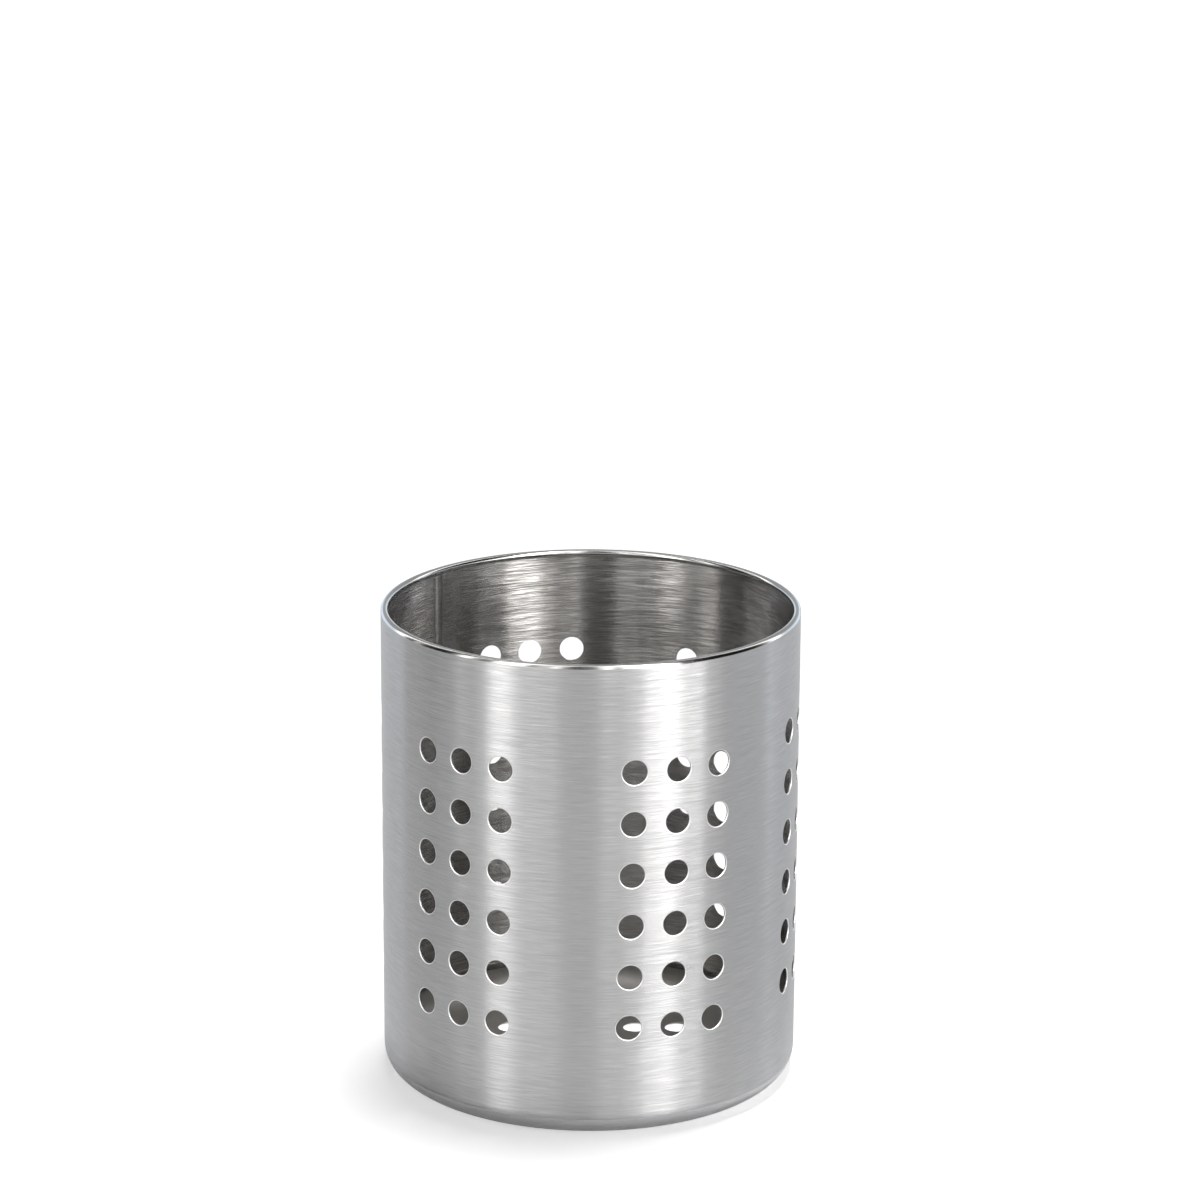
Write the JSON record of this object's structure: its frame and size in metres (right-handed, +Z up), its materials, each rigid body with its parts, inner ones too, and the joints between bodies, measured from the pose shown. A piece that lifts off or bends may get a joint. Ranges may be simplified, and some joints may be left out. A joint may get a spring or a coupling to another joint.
{
  "type": "utensil holder",
  "caption": "Round free-standing utensil holder in brushed stainless steel, open at the top, with a pierced wall, a curled lip and a drain base.",
  "frame": {"origin": "middle of the underside, where the holder's axis meets the surface it stands on", "axes": "+Z up along the holder's axis, -Y towards the side seen in the picture, +X to that side's right"},
  "size_m": [0.12, 0.12, 0.139],
  "materials": {
    "wall_steel": "fine grain brushed round the holder, lip polished",
    "base_steel": "satin, brushed on the outer corner",
    "weld_steel": "satin, ground flush outside, rippled inside"
  },
  "bodies": {
    "root": {"perforated_wall": "wall_steel", "side_weld": "weld_steel", "base_weld": "weld_steel", "base_pan": "base_steel"}
  },
  "joints": []
}
